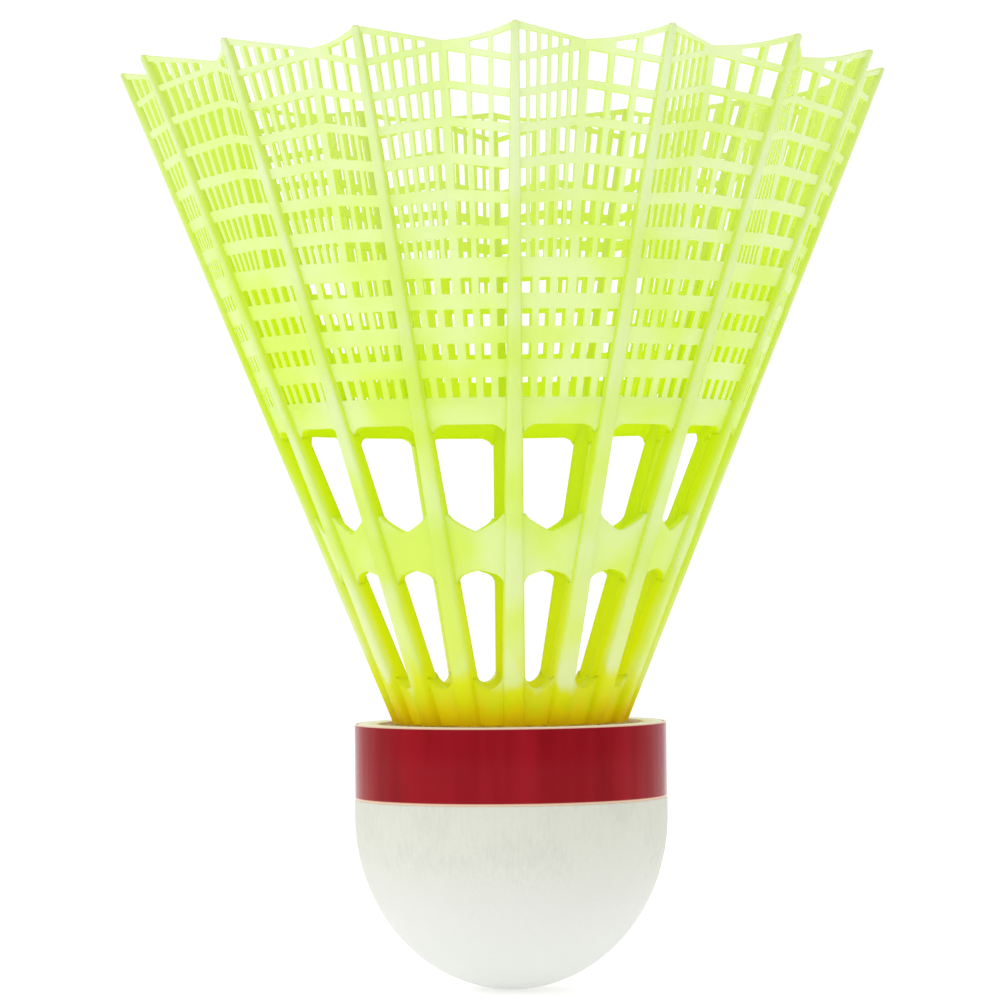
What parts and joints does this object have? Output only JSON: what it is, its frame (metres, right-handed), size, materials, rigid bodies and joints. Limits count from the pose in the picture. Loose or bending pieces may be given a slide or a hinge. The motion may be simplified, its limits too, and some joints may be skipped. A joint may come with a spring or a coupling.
{
  "type": "badminton shuttlecock",
  "caption": "Badminton shuttlecock with a round-nosed covered cork base, a tape band, and a conical moulded skirt of ribs, a hoop, windows and a pleated net.",
  "frame": {"origin": "lowest point of the nose, on the axis", "axes": "+Z along the axis from the nose to the mouth of the skirt; +X through the first rib"},
  "size_m": [0.0664, 0.0664, 0.0794],
  "materials": {
    "cork": "cork, matt",
    "cover": "matt, fine grain",
    "tape": "gloss",
    "nylon": "satin, translucent"
  },
  "bodies": {
    "root": {"cork_core": "cork", "base_cover": "cover", "tape_band": "tape", "skirt_collar": "nylon", "window_hoop": "nylon", "shoulder_band": "nylon", "rib_01": "nylon", "rib_02": "nylon", "rib_03": "nylon", "rib_04": "nylon", "rib_05": "nylon", "rib_06": "nylon", "rib_07": "nylon", "rib_08": "nylon", "rib_09": "nylon", "rib_10": "nylon", "rib_11": "nylon", "rib_12": "nylon", "rib_13": "nylon", "rib_14": "nylon", "rib_15": "nylon", "rib_16": "nylon", "dense_net_01": "nylon", "dense_net_02": "nylon", "dense_net_03": "nylon", "dense_net_04": "nylon", "dense_net_05": "nylon", "dense_net_06": "nylon", "dense_net_07": "nylon", "dense_net_08": "nylon", "dense_net_09": "nylon", "dense_net_10": "nylon", "dense_net_11": "nylon", "dense_net_12": "nylon", "dense_net_13": "nylon", "dense_net_14": "nylon", "dense_net_15": "nylon", "dense_net_16": "nylon", "open_net_01": "nylon", "open_net_02": "nylon", "open_net_03": "nylon", "open_net_04": "nylon", "open_net_05": "nylon", "open_net_06": "nylon", "open_net_07": "nylon", "open_net_08": "nylon", "open_net_09": "nylon", "open_net_10": "nylon", "open_net_11": "nylon", "open_net_12": "nylon", "open_net_13": "nylon", "open_net_14": "nylon", "open_net_15": "nylon", "open_net_16": "nylon"}
  },
  "joints": []
}
